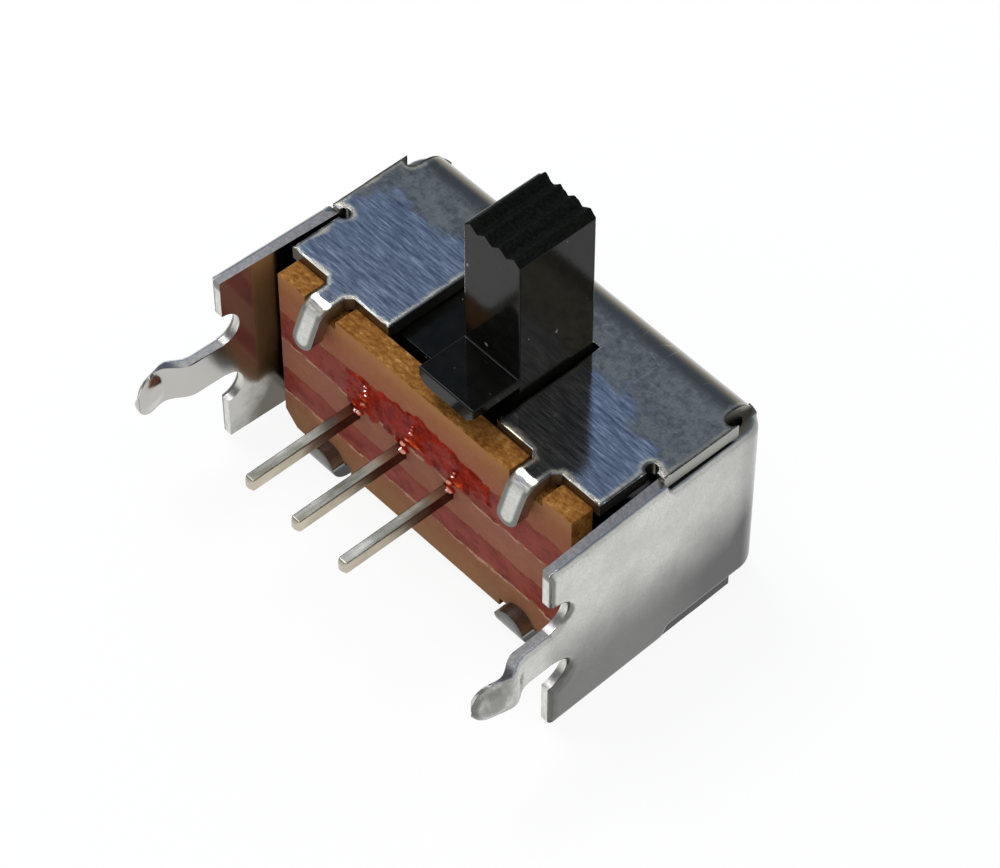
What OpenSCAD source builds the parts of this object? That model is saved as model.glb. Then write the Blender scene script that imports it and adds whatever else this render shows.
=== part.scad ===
// Slide switch, right-angle board mounting, one pole and two positions.
// X runs along the travel, +Y to the back, +Z up through the knob.
// The origin is the centre of the floor's outer face: midway between the end plates, and midway
// between their front edges and the back.

/* [Housing] */
// Width over the end plates
can_w = 14.2; // [13.6:0.1:16]
// Height over the top and bottom plates
can_h = 7.1; // [6.9:0.1:7.8]
// Depth from the end plates' front edges to the back
can_d = 8.25; // [8.1:0.05:9.5]
// Thickness of the sheet
sheet_t = 0.45; // [0.35:0.05:0.5]
// Outer radius of the bends along the back
bend_r = 0.9; // [0.7:0.05:1.1]
// Setback of the top and bottom plates' front edges behind the end plates'
lid_setback = 2.35; // [2:0.05:2.6]
// Gap between the front part of the top plate and an end plate
lid_side_gap = 0.25; // [0.15:0.05:0.4]
// Inset of the wide part of the top plate from the end plate's outer face
lid_rear_inset = 0.2; // [0.1:0.05:0.3]
// Depth at which the end plate steps down and the top plate steps out
step_d = 4.3; // [4:0.1:4.8]
// Radius of the relief notches at the steps
step_relief_r = 0.2; // [0.12:0.02:0.24]
// Radius of the relief holes at the back corners
corner_relief_r = 0.22; // [0.15:0.01:0.28]
// Inset of the end plate's front part from the top and bottom faces
end_front_inset = 0.2; // [0.1:0.05:0.3]
// Gap between the end plate's rear part and the plates that cover it
end_cover_gap = 0.1; // [0.05:0.05:0.2]

/* [Knob slot] */
// Gap between the knob and an end of the slot, at either limit of its travel
slot_end_gap = 0.14; // [0.08:0.02:0.3]
// Length of the slot from the top plate's front edge
slot_len = 3.9; // [3.85:0.05:4.2]

/* [Crimp tabs] */
// Width of a top tab
tab_w_top = 0.8; // [0.7:0.05:1.2]
// Width of a bottom tab
tab_w_floor = 1.2; // [0.9:0.05:1.3]
// Inset of a tab's outer edge from the board's side
tab_inset = 1.45; // [1.1:0.05:1.9]
// How much wider a tab is on each side at its root
tab_flare = 0.2; // [0.1:0.05:0.3]
// Inner radius of a tab's bend
tab_bend_r = 0.2; // [0.15:0.05:0.3]
// Length of a top tab below the top face
tab_drop_top = 1.8; // [1.6:0.1:2.2]
// Length of a bottom tab above the bottom face
tab_drop_floor = 1.05; // [1:0.05:1.6]
// Clearance beside a tab in its notch in the board
tab_gap = 0.06; // [0.03:0.01:0.1]

/* [Mounting legs] */
// Width of a leg
leg_w = 1.3; // [1.1:0.05:1.6]
// Reach of a leg beyond the end plate's front edge
leg_len = 3; // [2.8:0.05:3.5]
// Outward offset of the snap-in kink
leg_kink = 0.38; // [0.25:0.01:0.5]
// Where the kink begins, beyond the front edge
kink_from = 1.15; // [0.9:0.05:1.3]
// Where the kink is widest, beyond the front edge
kink_peak = 1.65; // [1.55:0.05:1.9]
// Outward offset left at the leg's tip
tip_offset = 0.08; // [0:0.01:0.15]
// Width of the notch on each side of a leg
leg_notch_w = 1.25; // [1:0.05:1.35]
// Depth of the notches behind the front edge
leg_notch_d = 0.6; // [0.5:0.05:0.8]
// Height of the legs' centre above the middle of the end plates
leg_rise = 0.05; // [0:0.01:0.1]

/* [Terminal board] */
// Gap between the board's side and an end plate
board_side_gap = 0.5; // [0.3:0.05:0.8]
// Thickness of the laminate
board_t = 0.8; // [0.7:0.05:1]
// How far the board's edges lap the front edges of the plates
board_lap = 0.12; // [0.08:0.01:0.2]
// Chamfer of the board's lower corners
board_chamfer = 0.5; // [0.3:0.05:0.8]

/* [Terminals] */
// Distance between neighbouring pins
pin_pitch = 2; // [1.9:0.05:2.2]
// Offset of the middle pin from the centre of the housing
row_x = -0.9; // [-1.1:0.05:-0.7]
// Width of a pin, along the row
pin_w = 0.35; // [0.3:0.05:0.5]
// Height of a pin
pin_h = 0.45; // [0.4:0.05:0.65]
// Reach of a pin beyond the end plates' front edges
pin_reach = 2.5; // [2.3:0.05:3.2]
// Chamfer of a pin's tip
pin_chamfer = 0.1; // [0.05:0.01:0.14]
// Width of a contact head behind the board
head_w = 1.5; // [1.3:0.05:1.7]
// Height of a contact head
head_h = 2.4; // [2.1:0.1:2.8]
// Thickness of a contact head
head_t = 0.3; // [0.2:0.02:0.36]
// Clearance around a pin in the board
pin_gap = 0.02; // [0.01:0.01:0.04]

/* [Sealing resin] */
// Height of the resin run above the pin row
resin_h = 1.25; // [1:0.05:1.4]
// Thickness of the resin run
resin_t = 0.08; // [0.05:0.01:0.12]
// Radius of the bead of resin at a pin
bead_r = 0.55; // [0.45:0.05:0.6]
// Height of the bead on the board's face
bead_h = 0.2; // [0.14:0.02:0.3]
// Offset of the bead's centre to the side of its pin and above it
bead_shift = 0.3; // [0.2:0.05:0.4]

/* [Slider] */
// Travel of the slider between its two positions
travel = 2; // [1.7:0.05:2.1]
// Width of the knob, along the travel
knob_w = 2.26; // [2:0.02:2.3]
// Depth of the knob
knob_d = 2.8; // [2.4:0.05:2.85]
// Height of the knob above the top plate
knob_h = 5.55; // [3:0.05:7]
// Gap between the knob and the rear edge of the slot
knob_rear_gap = 0.14; // [0.1:0.02:0.3]
// Distance between the grooves in the knob's top
groove_pitch = 0.58; // [0.5:0.02:0.6]
// Depth of the grooves
groove_depth = 0.2; // [0.1:0.02:0.25]
// Height of the tongue's upper face above the top plate
tongue_z = 0.78; // [0.7:0.02:1.2]
// Thickness of the tongue in front of the knob
tongue_t = 0.6; // [0.4:0.05:0.65]
// Chamfer under the tongue's sides
tongue_chamfer = 0.26; // [0.15:0.01:0.35]
// Setback of the tongue's front behind the board's front face
tongue_setback = 0.04; // [0.02:0.01:0.2]
// Running clearance between the carriage and the housing
slide_gap = 0.09; // [0.06:0.01:0.12]
// Length of the carriage to each side of the knob's centre
carriage_half = 3.7; // [3.4:0.1:4.2]
// Gap between the carriage and the contact heads
front_gap = 0.12; // [0.08:0.01:0.2]

/* [Contact clip] */
// Thickness of the clip's strip
clip_t = 0.15; // [0.1:0.01:0.18]
// Height of the clip
clip_h = 2; // [1.6:0.1:2.2]
// Depth of the clip from its contact faces to its feet
clip_d = 1.2; // [1:0.05:1.4]
// Half of the spread of the clip's feet
clip_half = 1.7; // [1.6:0.02:1.9]
// Clearance around the clip in its pocket
clip_gap = 0.06; // [0.04:0.01:0.1]
// Gap kept between the clip and the heads, in place of its spring load
contact_gap = 0.03; // [0.02:0.01:0.05]

/* [Detent] */
// Diameter of the detent ball
ball_dia = 1.5; // [1.3:0.05:1.6]
// Clearance of the ball in its bore
ball_gap = 0.05; // [0.03:0.01:0.08]
// Gap between the ball and the flat inner face of the back plate
ball_back_gap = 0.03; // [0.02:0.01:0.06]
// Depth of the bore for the spring and the ball
bore_d = 2.6; // [2.4:0.05:2.9]
// Diameter of the spring's wire
wire_dia = 0.18; // [0.12:0.01:0.2]
// Turns of the spring
spring_turns = 4; // [3:1:5]
// Depth of the dimples pressed in the back plate
dimple_depth = 0.2; // [0.1:0.01:0.25]

/* [Hidden] */
$fn = 64;
// Overlap between parts of one body, and overshoot of a cut
eps = 0.01;
over = 1;
// Set-back lines, from front to back
front_y = -can_d / 2;
back_y = can_d / 2;
lid_y = front_y + lid_setback;
step_y = front_y + step_d;
board_front_y = lid_y - board_t;
// Inner faces of the sheet
floor_z = sheet_t;
ceiling_z = can_h - sheet_t;
wall_x = can_w / 2 - sheet_t;
rear_wall_y = back_y - sheet_t;
mid_z = can_h / 2;
// Top and bottom plates
lid_front_w = 2 * (wall_x - lid_side_gap);
lid_rear_w = can_w - 2 * lid_rear_inset;
back_flat_w = can_w - 2 * bend_r;
lid_bend_w = back_flat_w + 2 * corner_relief_r;
relief_y = back_y - bend_r - corner_relief_r;
end_rear_h = can_h - 2 * (sheet_t + end_cover_gap);
end_front_h = can_h - 2 * end_front_inset;
slot_w = travel + knob_w + 2 * slot_end_gap;
// Board
board_w = 2 * (wall_x - board_side_gap);
board_h = can_h - 2 * sheet_t + 2 * board_lap;
// Crimp tabs
tab_outer_r = tab_bend_r + sheet_t;
tab_span = board_w - 2 * tab_inset;
// Contacts
head_face_y = lid_y + head_t;
clip_x = row_x + pin_pitch / 2;
clip_face_y = head_face_y + contact_gap;
clip_foot_y = clip_face_y + clip_d;
clip_hump = 0.18;
clip_land_y = 0.42;
clip_foot_w = 3 * clip_hump;
// Slider at rest, in its right-hand position
knob_x = travel / 2;
knob_back_y = lid_y + slot_len - knob_rear_gap;
knob_front_y = knob_back_y - knob_d;
knob_top_z = can_h + knob_h;
ridge_count = 4;
ridge_half = (ridge_count - 1) * groove_pitch / 2;
tongue_top_z = can_h + tongue_z;
carriage_front_y = head_face_y + front_gap;
carriage_back_y = rear_wall_y - slide_gap;
carriage_floor_z = floor_z + slide_gap;
carriage_top_z = ceiling_z - slide_gap;
carriage_bevel = bend_r - sheet_t;
// Detent
ball_r = ball_dia / 2;
ball_y = rear_wall_y - ball_back_gap - ball_r;
bore_r = ball_r + ball_gap;
bore_floor_y = carriage_back_y - bore_d;
coil_r = bore_r - wire_dia / 2 - ball_gap;
wire_r = wire_dia / 2;
coil_from_y = bore_floor_y + wire_r;
coil_to_y = ball_y - sqrt(pow(ball_r + wire_r + eps, 2) - pow(coil_r, 2));
coil_sides = 8;
coil_steps = 16;
dimple_r = (pow(ball_r, 2) + pow(dimple_depth, 2)) / (2 * dimple_depth);
// Colours
steel = [0.62, 0.65, 0.70];
laminate = [0.72, 0.48, 0.30];
tin = [0.70, 0.69, 0.66];
resin = [0.70, 0.16, 0.08];
black_plastic = [0.05, 0.05, 0.055];
spring_bronze = [0.80, 0.62, 0.36];
spring_steel = [0.66, 0.66, 0.68];
ball_steel = [0.75, 0.76, 0.78];

function dimple_x(side) = side * travel / 2;
function pin_x(i) = row_x + i * pin_pitch;
function tab_x(side, w) = side * (tab_span - w) / 2;

// ---------- flat shapes ----------

// A rectangle from x0 to x1, centred on y, whose two corners at x1 are round
module round_backed(x0, x1, w, r) {
    translate([x0, -w / 2]) square([x1 - r - x0, w]);
    translate([x1 - r - eps, r - w / 2]) square([r + eps, w - 2 * r]);
    for (side = [-1, 1]) translate([x1 - r, side * (w / 2 - r)]) circle(r = r);
}

// The section of a channel that is bent from sheet, open towards -x
module channel_section(x0, x1, w) {
    difference() {
        round_backed(x0, x1, w, bend_r);
        round_backed(x0 - over, x1 - sheet_t, w - 2 * sheet_t, bend_r - sheet_t);
    }
}

// Extrudes a shape drawn in Y and Z along X
module along_x(length) {
    rotate([90, 0, 90]) linear_extrude(length, center = true) children();
}

// Extrudes a shape drawn in X and Z along Y, from y0 to y1
module along_y(y0, y1) {
    translate([0, y1, 0]) rotate([90, 0, 0]) linear_extrude(y1 - y0) children();
}

function unit(v) = v / norm(v);
function left_of(v) = [-v[1], v[0]];
function mitre(a, b) = (a + b) / (1 + a * b);
function side_at(p, i) =
    i == 0 ? left_of(unit(p[1] - p[0])) :
    i == len(p) - 1 ? left_of(unit(p[i] - p[i - 1])) :
    mitre(left_of(unit(p[i] - p[i - 1])), left_of(unit(p[i + 1] - p[i])));

// A strip of sheet that follows a line, with its thickness on the line's left
module bent_strip(line, t) {
    far = [for (i = [0 : len(line) - 1]) line[i] + t * side_at(line, i)];
    polygon(concat(line, [for (i = [len(far) - 1 : -1 : 0]) far[i]]));
}

// ---------- housing ----------

// Plan of the top and bottom plates: narrow in front, wide behind the step, relieved at the bends
module plate_plan(slotted) {
    difference() {
        union() {
            translate([-lid_front_w / 2, lid_y]) square([lid_front_w, step_y + step_relief_r - lid_y]);
            translate([-lid_rear_w / 2, step_y]) square([lid_rear_w, relief_y - step_y]);
            translate([-lid_bend_w / 2, relief_y - eps]) square([lid_bend_w, back_y - relief_y + over]);
        }
        for (side = [-1, 1]) {
            translate([side * lid_front_w / 2, step_y]) circle(r = step_relief_r);
            translate([side * wall_x, relief_y]) circle(r = corner_relief_r);
        }
        if (slotted) translate([-slot_w / 2, lid_y - over]) square([slot_w, slot_len + over]);
    }
}

// The top plate, the back and the bottom plate, bent from one strip
module top_back_floor() {
    difference() {
        translate([0, 0, mid_z]) along_x(lid_rear_w) channel_section(lid_y, back_y, can_h);
        for (upper = [0, 1]) {
            translate([0, 0, upper * mid_z - eps]) linear_extrude(mid_z + 2 * eps) difference() {
                translate([-can_w / 2 - over, front_y]) square([can_w + 2 * over, can_d + over]);
                plate_plan(upper == 1);
            }
        }
    }
}

// Side view of an end plate with its notches and mounting leg
module end_outline() {
    notch_z = leg_w / 2 + leg_notch_w / 2;
    notch_r = min(leg_notch_d, leg_notch_w / 2);
    difference() {
        translate([front_y, -end_front_h / 2]) square([step_d, end_front_h]);
        for (side = [-1, 1]) {
            translate([front_y + leg_notch_d - notch_r, leg_rise + side * notch_z]) circle(r = notch_r);
            translate([front_y - over, leg_rise + side * notch_z - leg_notch_w / 2])
                square([over + leg_notch_d - notch_r, leg_notch_w]);
        }
    }
    translate([step_y - eps, -end_rear_h / 2]) square([back_y - step_y + eps, end_rear_h]);
    polygon([
        [step_y - eps, -end_front_h / 2], [step_y - eps, end_front_h / 2],
        [step_y + step_relief_r, end_rear_h / 2], [step_y + step_relief_r, -end_rear_h / 2]
    ]);
    translate([front_y - leg_len + leg_w / 2, leg_rise - leg_w / 2])
        square([leg_len + leg_notch_d - leg_w / 2, leg_w]);
    translate([front_y - leg_len + leg_w / 2, leg_rise]) circle(r = leg_w / 2);
}

// Plan of the right-hand leg: straight, kinked outwards, and back in at the tip
module leg_plan() {
    root = [can_w / 2, front_y + leg_notch_d];
    bend = [can_w / 2, front_y - kink_from];
    peak = [can_w / 2 + leg_kink, front_y - kink_peak];
    tip = [can_w / 2 + tip_offset, front_y - leg_len - eps];
    bent_strip([tip, peak, bend, root], sheet_t);
}

// Both end plates with their legs, each on its own bend at the back's edge
module end_plates() {
    intersection() {
        union() {
            linear_extrude(can_h) difference() {
                rotate(90) channel_section(front_y, back_y, can_w);
                translate([0, back_y]) square([back_flat_w, 2 * (sheet_t + over)], center = true);
            }
            linear_extrude(can_h) leg_plan();
            linear_extrude(can_h) mirror([1, 0]) leg_plan();
        }
        translate([0, 0, mid_z]) along_x(can_w + 4 * leg_kink) end_outline();
    }
}

// A crimp tab at the top plate's front edge, folded over the board, with its top face at z = 0
module crimp_tab(w, drop) {
    root_w = w + 2 * tab_flare;
    bend_y = tab_bend_r - board_t;
    bend_z = -tab_outer_r;
    // root, spread out where it leaves the plate
    translate([0, 0, -sheet_t]) linear_extrude(sheet_t) polygon([
        [-root_w / 2, eps], [root_w / 2, eps], [root_w / 2, 0], [w / 2, -tab_flare],
        [w / 2, bend_y], [-w / 2, bend_y], [-w / 2, -tab_flare], [-root_w / 2, 0]
    ]);
    // bend over the board's edge
    along_x(w) intersection() {
        translate([bend_y, bend_z]) difference() {
            circle(r = tab_outer_r);
            circle(r = tab_bend_r);
        }
        translate([bend_y - tab_outer_r, bend_z]) square(tab_outer_r + eps / 2);
    }
    // round-ended flap against the board's face
    along_y(-board_t - sheet_t, -board_t) intersection() {
        union() {
            translate([-w / 2, w / 2 - drop]) square([w, drop]);
            translate([0, w / 2 - drop]) circle(d = w);
        }
        translate([-w / 2, -drop]) square([w, drop + bend_z]);
    }
}

// The cap of a ball that a dimple of the back plate is pressed to, standing towards +Y
module dimple_cap() {
    rotate([-90, 0, 0]) intersection() {
        translate([0, 0, dimple_depth - dimple_r]) sphere(r = dimple_r);
        cylinder(r = dimple_r, h = dimple_depth);
    }
}

// The dimples stand out behind the back plate by as much as they are hollow inside
module housing() {
    color(steel) difference() {
        union() {
            top_back_floor();
            end_plates();
            for (side = [-1, 1]) {
                translate([tab_x(side, tab_w_top), lid_y, can_h]) crimp_tab(tab_w_top, tab_drop_top);
                translate([tab_x(side, tab_w_floor), lid_y, 0]) mirror([0, 0, 1])
                    crimp_tab(tab_w_floor, tab_drop_floor);
                translate([dimple_x(side), back_y, mid_z]) dimple_cap();
            }
        }
        for (side = [-1, 1]) translate([dimple_x(side), rear_wall_y, mid_z]) dimple_cap();
    }
}

// ---------- terminal board ----------

// A notch in the board's edge for a crimp tab
module tab_notch(x, edge, w) {
    translate([x, mid_z + edge * can_h / 2])
        square([w + 2 * (tab_flare + tab_gap), 2 * tab_outer_r], center = true);
}

module board_outline() {
    difference() {
        translate([-board_w / 2, mid_z - board_h / 2]) square([board_w, board_h]);
        for (side = [-1, 1]) {
            translate([side * board_w / 2, mid_z - board_h / 2]) rotate(45)
                square(board_chamfer * sqrt(2), center = true);
            tab_notch(tab_x(side, tab_w_top), 1, tab_w_top);
            tab_notch(tab_x(side, tab_w_floor), -1, tab_w_floor);
        }
        for (i = [-1 : 1]) translate([pin_x(i), mid_z])
            square([pin_w + 2 * pin_gap, pin_h + 2 * pin_gap], center = true);
    }
}

module terminal_board() {
    color(laminate) along_y(board_front_y, lid_y) board_outline();
}

// ---------- terminals ----------

// A view of a pin as wide as w, chamfered at its tip and drawn from the tip to the contact head
module pin_view(w) {
    tip_y = front_y - pin_reach;
    polygon([
        [tip_y, pin_chamfer - w / 2], [tip_y + pin_chamfer, -w / 2], [lid_y + eps, -w / 2],
        [lid_y + eps, w / 2], [tip_y + pin_chamfer, w / 2], [tip_y, w / 2 - pin_chamfer]
    ]);
}

// A flat pin, which is its plan and its side view at once, and the contact head behind the board
module terminal(i) {
    color(tin) translate([pin_x(i), 0, mid_z]) {
        intersection() {
            linear_extrude(pin_h, center = true) rotate(90) pin_view(pin_w);
            along_x(pin_w) pin_view(pin_h);
        }
        along_y(lid_y, head_face_y) square([head_w, head_h], center = true);
    }
}

module terminal_left() { terminal(-1); }
module terminal_centre() { terminal(0); }
module terminal_right() { terminal(1); }

// ---------- sealing resin ----------

// A bead of resin, a low cap of a ball, standing towards -Y on the board's face
module resin_bead() {
    ball = (pow(bead_r, 2) + pow(bead_h, 2)) / (2 * bead_h);
    rotate([90, 0, 0]) intersection() {
        translate([0, 0, bead_h - ball]) sphere(r = ball);
        cylinder(r = ball, h = bead_h);
    }
}

// A thin run just above the pins with a bead at each pin
module sealing_resin() {
    run_w = board_w - 2 * board_chamfer;
    color(resin) difference() {
        union() {
            along_y(board_front_y - resin_t, board_front_y)
                translate([-run_w / 2, mid_z]) square([run_w, resin_h]);
            for (i = [-1 : 1])
                translate([pin_x(i) + bead_shift, board_front_y, mid_z + bead_shift]) resin_bead();
        }
        for (i = [-1 : 1]) translate([pin_x(i), 0, mid_z])
            along_y(board_front_y - over, board_front_y + over) square([pin_w, pin_h], center = true);
    }
}

// ---------- slider ----------

// Front view of the knob: ridges with V grooves between them, and a chamfer at each end
module knob_section() {
    top = knob_top_z;
    low = knob_top_z - groove_depth;
    ridges = [for (i = [0 : ridge_count - 1]) ridge_half - i * groove_pitch];
    polygon(concat(
        [[-knob_w / 2, mid_z], [knob_w / 2, mid_z], [knob_w / 2, low]],
        [for (i = [0 : ridge_count - 1]) each i == ridge_count - 1 ?
            [[ridges[i], top]] : [[ridges[i], top], [ridges[i] - groove_pitch / 2, low]]],
        [[-knob_w / 2, low]]
    ));
}

// Front view of the tongue, chamfered under its sides
module tongue_section() {
    c = tongue_chamfer;
    low = tongue_top_z - tongue_t;
    polygon([
        [-knob_w / 2, tongue_top_z], [-knob_w / 2, low + c], [c - knob_w / 2, low],
        [knob_w / 2 - c, low], [knob_w / 2, low + c], [knob_w / 2, tongue_top_z]
    ]);
}

// Side view of the carriage, bevelled behind to clear the inner radius of the housing's bends
module carriage_section() {
    polygon([
        [carriage_front_y, carriage_floor_z], [carriage_back_y - carriage_bevel, carriage_floor_z],
        [carriage_back_y, carriage_floor_z + carriage_bevel],
        [carriage_back_y, carriage_top_z - carriage_bevel],
        [carriage_back_y - carriage_bevel, carriage_top_z], [carriage_front_y, carriage_top_z]
    ]);
}

// The carriage, the knob and its tongue, with a pocket for the clip and a bore for the spring and the ball
module slider() {
    pocket_w = 2 * (clip_half + clip_t + clip_gap);
    pocket_h = clip_h + 2 * clip_gap;
    color(black_plastic) difference() {
        translate([knob_x, 0, 0]) {
            along_x(2 * carriage_half) carriage_section();
            along_y(knob_front_y, knob_back_y) knob_section();
            along_y(board_front_y + tongue_setback, knob_front_y + eps) tongue_section();
        }
        translate([clip_x - pocket_w / 2, carriage_front_y - over, mid_z - pocket_h / 2])
            cube([pocket_w, clip_foot_y - carriage_front_y + over, pocket_h]);
        translate([knob_x, bore_floor_y, mid_z]) rotate([-90, 0, 0]) cylinder(r = bore_r, h = bore_d + over);
    }
}

// ---------- contact clip ----------

// A sprung strip with two contact humps in front and two feet on the pocket's floor
module contact_clip() {
    p = pin_pitch / 2;
    foot = clip_d - clip_t;
    half = [
        [clip_half - clip_foot_w, foot], [clip_half, foot], [p + 2 * clip_hump, clip_land_y],
        [p + clip_hump, 0], [p - clip_hump, 0], [p - 3 * clip_hump, clip_land_y]
    ];
    line = concat([for (q = half) [-q[0], q[1]]], [for (i = [len(half) - 1 : -1 : 0]) half[i]]);
    color(spring_bronze) translate([clip_x, clip_face_y, mid_z - clip_h / 2])
        linear_extrude(clip_h) bent_strip(line, clip_t);
}

// ---------- detent ----------

// A ring of the wire at one point of the helix
function coil_ring(a, y) = [for (j = [0 : coil_sides - 1]) let (b = 360 * j / coil_sides)
    [(coil_r + wire_r * cos(b)) * cos(a), y + wire_r * sin(b), (coil_r + wire_r * cos(b)) * sin(a)]];

module detent_spring() {
    n = spring_turns * coil_steps;
    rise = (coil_to_y - coil_from_y) / n;
    rings = [for (i = [0 : n]) coil_ring(360 * i / coil_steps, coil_from_y + rise * i)];
    points = [for (ring = rings) each ring];
    sides = [for (i = [0 : n - 1], j = [0 : coil_sides - 1]) let (k = (j + 1) % coil_sides)
        [i * coil_sides + j, i * coil_sides + k, (i + 1) * coil_sides + k, (i + 1) * coil_sides + j]];
    start_cap = [[for (j = [coil_sides - 1 : -1 : 0]) j]];
    end_cap = [[for (j = [0 : coil_sides - 1]) n * coil_sides + j]];
    color(spring_steel) translate([knob_x, 0, mid_z])
        polyhedron(points, concat(sides, start_cap, end_cap));
}

module detent_ball() {
    color(ball_steel) translate([knob_x, ball_y, mid_z]) sphere(r = ball_r);
}

housing();
terminal_board();
terminal_left();
terminal_centre();
terminal_right();
sealing_resin();
slider();
contact_clip();
detent_spring();
detent_ball();
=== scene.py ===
import math

import bpy
import bmesh
import numpy as np
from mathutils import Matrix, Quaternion, Vector
from mathutils.bvhtree import BVHTree
from mathutils.geometry import delaunay_2d_cdt
from mathutils.noise import noise as noise_at, turbulence


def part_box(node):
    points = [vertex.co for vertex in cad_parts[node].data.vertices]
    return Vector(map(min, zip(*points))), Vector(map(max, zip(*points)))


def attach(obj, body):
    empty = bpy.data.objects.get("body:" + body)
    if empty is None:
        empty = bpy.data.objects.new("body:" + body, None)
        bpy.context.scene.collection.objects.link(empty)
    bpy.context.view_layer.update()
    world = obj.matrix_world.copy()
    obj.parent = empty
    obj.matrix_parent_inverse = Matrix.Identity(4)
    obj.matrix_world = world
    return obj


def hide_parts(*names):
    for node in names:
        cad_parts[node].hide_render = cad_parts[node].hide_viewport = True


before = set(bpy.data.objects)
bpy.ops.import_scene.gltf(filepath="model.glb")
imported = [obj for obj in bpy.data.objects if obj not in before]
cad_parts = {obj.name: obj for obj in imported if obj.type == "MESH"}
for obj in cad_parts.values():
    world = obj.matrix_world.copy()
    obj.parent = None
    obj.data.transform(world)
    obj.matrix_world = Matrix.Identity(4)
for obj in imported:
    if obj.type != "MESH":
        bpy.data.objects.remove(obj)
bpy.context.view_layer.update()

# ---------- camera ----------
# A long lens a hand's breadth away, looking down over the right front corner. It aims at the
# middle of the switch, a little above the surface that the switch lies on.
MM = 0.001
aim = Vector((-0.115, 0.503, 2.5)) * MM
azimuth = math.radians(47.71)
elevation = math.radians(50.36)
distance = 119.07 * MM
sensor_width = 36
focal_ratio = 4.124
towards_camera = Vector((
    math.sin(azimuth) * math.cos(elevation),
    -math.cos(azimuth) * math.cos(elevation),
    math.sin(elevation),
))
camera_data = bpy.data.cameras.new("camera")
camera_data.sensor_width = sensor_width
camera_data.lens = sensor_width * focal_ratio
camera_data.clip_start = 5 * MM
camera_data.clip_end = 10
camera = bpy.data.objects.new("camera", camera_data)
camera.location = aim + distance * towards_camera
camera.rotation_euler = towards_camera.to_track_quat("Z", "Y").to_euler()
bpy.context.scene.collection.objects.link(camera)
bpy.context.scene.camera = camera
bpy.context.scene.view_settings.view_transform = "Standard"

# ---------- floor and light ----------
# A white studio sweep: a plain white floor, a white room with its dim end behind the switch, and
# one broad lamp from the left that throws the soft shadow to the right.
room_strength = 0.8
dim_way = (-0.47, 0.43, 0.77)
dim_spread = (0.6, 0.93)
dim_colour = (0.20, 0.27, 0.42)
lamp_size, lamp_power = 76, 0.115
lamp_place = (-68, 6, 130)
floor_white = 0.93
floor_half = 1.0
floor_lift = 0.9


class Wire:
    """A node's output. Arithmetic on it adds the Math node that does it."""

    def __init__(self, tree, socket=None):
        self.tree = tree
        self.socket = socket

    def node(self, kind, settings, inputs, pick=0):
        """Adds a node with these settings and inputs, and gives the output picked."""
        new = self.tree.nodes.new(kind)
        for name, value in settings.items():
            if name == "stops":
                ramp = new.color_ramp
                while len(ramp.elements) < len(value):
                    ramp.elements.new(1)
                for element, (place, colour) in zip(ramp.elements, value):
                    element.position = place
                    element.color = (*colour, 1)
            else:
                setattr(new, name, value)
        for name, value in inputs.items():
            if isinstance(value, Wire):
                self.tree.links.new(value.socket, new.inputs[name])
            else:
                new.inputs[name].default_value = value
        return Wire(self.tree, new.outputs[pick])

    def math(self, operation, *values):
        inputs = dict(enumerate((self, *values)))
        return self.node("ShaderNodeMath", {"operation": operation}, inputs)

    def __add__(self, other):
        return self.math("ADD", other)

    def __radd__(self, other):
        return self.math("ADD", other)

    def __sub__(self, other):
        return self.math("SUBTRACT", other)

    def __rsub__(self, other):
        return (self * -1).math("ADD", other)

    def __mul__(self, other):
        return self.math("MULTIPLY", other)

    def __rmul__(self, other):
        return self.math("MULTIPLY", other)

    def step(self, low, high):
        """0 below low, 1 above high, and a smooth rise between them."""
        return self.node(
            "ShaderNodeMapRange", {"interpolation_type": "SMOOTHSTEP"},
            {"Value": self, "From Min": low, "From Max": high})

    def blend(self, below, above):
        """The colour below where this is 0, and above where it is 1."""
        below, above = (
            colour if isinstance(colour, Wire) else (*colour, 1) for colour in (below, above))
        return self.node(
            "ShaderNodeMix", {"data_type": "RGBA"}, {0: self, 6: below, 7: above}, pick=2)


def new_material(name):
    """A material with an empty tree but for its output, as (material, start of its wires)."""
    material = bpy.data.materials.new(name)
    material.use_nodes = True
    material.node_tree.nodes.clear()
    return material, Wire(material.node_tree)


def finish_surface(start, shader):
    output = start.tree.nodes.new("ShaderNodeOutputMaterial")
    start.tree.links.new(shader.socket, output.inputs["Surface"])


world = bpy.data.worlds.new("white room")
bpy.context.scene.world = world
world.use_nodes = True
start = Wire(world.node_tree)
heading = start.node("ShaderNodeTexCoord", {}, {}, pick="Generated")
facing = start.node(
    "ShaderNodeVectorMath", {"operation": "DOT_PRODUCT"}, {0: heading, 1: dim_way}, pick="Value")
room = facing.step(*dim_spread).blend((room_strength,) * 3, dim_colour)
seen = start.node("ShaderNodeLightPath", {}, {}, pick="Is Camera Ray")
room = seen.blend(room, (1, 1, 1))
world.node_tree.links.new(room.socket, world.node_tree.nodes["Background"].inputs["Color"])

lamp_data = bpy.data.lights.new("window", "AREA")
lamp_data.shape = "DISK"
lamp_data.size = lamp_size * MM
lamp_data.energy = lamp_power
lamp = bpy.data.objects.new("window", lamp_data)
lamp.location = Vector(lamp_place) * MM
lamp.rotation_euler = lamp.location.to_track_quat("Z", "Y").to_euler()
bpy.context.scene.collection.objects.link(lamp)

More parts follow.
